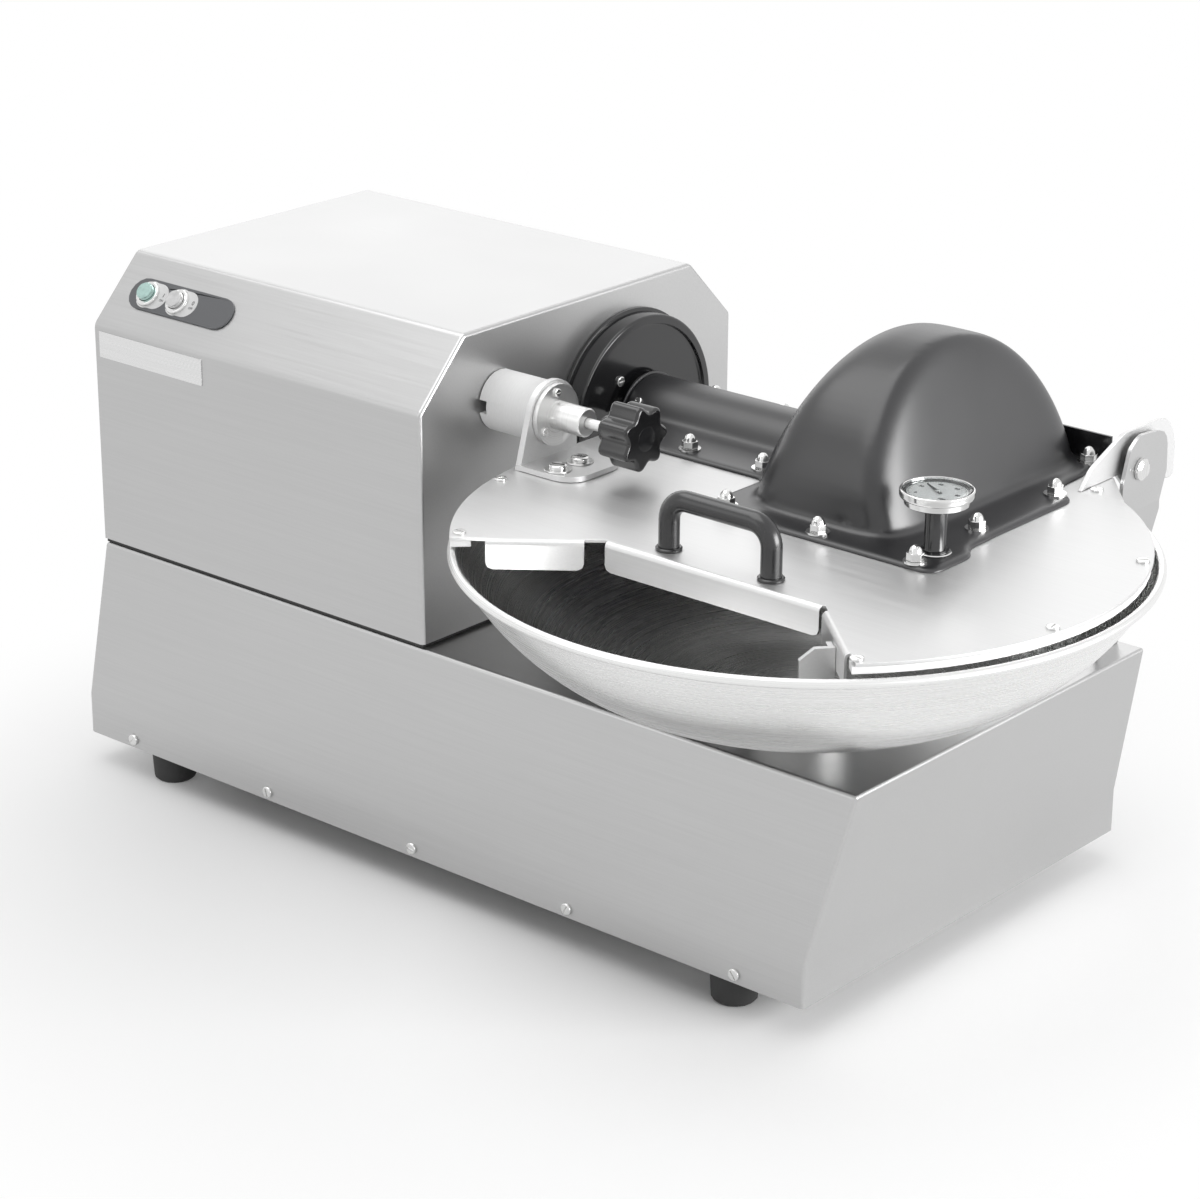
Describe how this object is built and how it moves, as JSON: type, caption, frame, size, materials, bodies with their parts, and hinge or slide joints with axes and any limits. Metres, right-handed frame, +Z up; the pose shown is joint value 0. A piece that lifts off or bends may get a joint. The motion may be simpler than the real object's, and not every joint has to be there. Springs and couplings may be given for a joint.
{
  "type": "bowl cutter",
  "caption": "Tabletop meat bowl cutter: turning bowl, sickle knives under a hinged lid with a moulded knife cover, driven from a chamfered steel motor housing on a flared base",
  "frame": {"origin": "on the floor, at the centre of the machine's box seen from above", "axes": "+X from the motor housing to the bowl, the longest side; -Y is the operator's side; +Z up"},
  "size_m": [0.9034, 0.5782, 0.4433],
  "materials": {
    "satin_steel": "brushed stainless sheet",
    "bowl_steel": "spun stainless steel, fine turning lines",
    "polished_steel": "turned and polished stainless steel",
    "blade_steel": "ground knife steel",
    "turned_aluminium": "turned aluminium",
    "black_plastic": "moulded, satin gloss",
    "black_rubber": "moulded rubber",
    "white_nylon": "machined white plastic",
    "cast_grey": "cast, painted grey",
    "panel_dark": "dark panel",
    "green_plastic": "moulded green",
    "grey_plastic": "moulded grey",
    "clear_lens": "clear"
  },
  "bodies": {
    "frame": {"base_shell": "satin_steel", "base_tray": "satin_steel", "foot_front_left": "black_rubber", "foot_front_right": "black_rubber", "foot_rear_left": "black_rubber", "foot_rear_right": "black_rubber", "housing_shell": "satin_steel", "housing_end_panel": "satin_steel", "housing_seal": "black_rubber", "shaft_disc": "black_plastic", "motor_body": "cast_grey", "knife_bearing_tube": "cast_grey", "knife_bearing_front": "polished_steel", "knife_bearing_rear": "polished_steel", "gearbox_case": "cast_grey", "knife_belt": "black_rubber", "bowl_belt": "black_rubber", "control_panel": "panel_dark", "hinge_post_left": "satin_steel", "hinge_post_right": "satin_steel", "hinge_pin_left": "polished_steel", "hinge_pin_right": "polished_steel", "cable_gland": "black_plastic"},
    "bowl_set": {"bowl": "bowl_steel", "bowl_hub": "turned_aluminium", "bowl_spindle": "polished_steel"},
    "knife_set": {"knife_shaft": "polished_steel", "knife_1": "blade_steel", "knife_2": "blade_steel", "knife_3": "blade_steel", "knife_spacer_1": "polished_steel", "knife_spacer_2": "polished_steel", "knife_clamp_nut": "polished_steel", "knife_pulley": "cast_grey"},
    "motor_rotor": {"motor_shaft": "polished_steel", "motor_pulley": "cast_grey"},
    "worm": {"worm_shaft": "polished_steel", "worm_pulley": "cast_grey"},
    "lid": {"lid_plate": "satin_steel", "hinge_ear_left": "satin_steel", "hinge_ear_right": "satin_steel", "rear_upstand": "black_plastic", "lid_seal_left": "white_nylon", "lid_seal_right": "white_nylon", "knife_cover": "black_plastic", "lid_handle": "black_plastic", "lock_bracket": "satin_steel", "lock_block": "white_nylon", "lock_flange": "polished_steel", "scraper_plate": "satin_steel", "thermometer_stem": "polished_steel", "thermometer_case": "polished_steel", "thermometer_dial": "white_nylon", "thermometer_lens": "clear_lens"},
    "lock_slide": {"lock_pin": "polished_steel"},
    "lock_knob": {"lock_spindle": "polished_steel", "star_knob": "black_plastic"},
    "start_slide": {"start_button": "green_plastic"},
    "stop_slide": {"stop_button": "grey_plastic"},
    "gauge_needle": {"thermometer_pointer": "black_plastic"}
  },
  "joints": [
    {"name": "knife_spin", "type": "hinge", "parent": "frame", "child": "knife_set", "pos_m": [0.2014, 0.1113, 0.332], "axis": [1, 0, 0], "continuous": true},
    {"name": "motor_spin", "type": "hinge", "parent": "frame", "child": "motor_rotor", "pos_m": [-0.24, -0.0044, 0.285], "axis": [1, 0, 0], "continuous": true},
    {"name": "worm_spin", "type": "hinge", "parent": "frame", "child": "worm", "pos_m": [-0.201, 0.0062, 0.105], "axis": [1, 0, 0], "continuous": true},
    {"name": "bowl_spin", "type": "hinge", "parent": "frame", "child": "bowl_set", "pos_m": [0.2014, -0.0388, 0.2094], "axis": [0, 0, 1], "continuous": true},
    {"name": "lid_hinge", "type": "hinge", "parent": "frame", "child": "lid", "pos_m": [0.1973, 0.2281, 0.331], "axis": [-1, 0, 0], "range_deg": [0, 110]},
    {"name": "lock_travel", "type": "slide", "parent": "lid", "child": "lock_slide", "axis": [-1, 0, 0], "range_m": [0, 0.01]},
    {"name": "knob_turn", "type": "hinge", "parent": "lock_slide", "child": "lock_knob", "pos_m": [0.0156, -0.0361, 0.3638], "axis": [-1, 0, 0], "range_deg": [0, 1195]},
    {"name": "start_press", "type": "slide", "parent": "frame", "child": "start_slide", "axis": [0, 0.7226, -0.6913], "range_m": [0, 0.003], "stiffness_N_per_m": 800, "springref_m": -0.001},
    {"name": "stop_press", "type": "slide", "parent": "frame", "child": "stop_slide", "axis": [0, 0.7226, -0.6913], "range_m": [0, 0.003], "stiffness_N_per_m": 800, "springref_m": -0.001},
    {"name": "pointer_turn", "type": "hinge", "parent": "lid", "child": "gauge_needle", "pos_m": [0.2973, -0.0188, 0.374], "axis": [0, 0, 1], "range_deg": [-180, 60]}
  ],
  "couplings": [
    {"joint": "motor_spin", "follows": "knife_spin", "ratio": 0.71429},
    {"joint": "worm_spin", "follows": "knife_spin", "ratio": 0.44643},
    {"joint": "bowl_spin", "follows": "knife_spin", "ratio": 0.0074405},
    {"joint": "lock_travel", "follows": "knob_turn", "m_per_rad": 0.00047746}
  ]
}
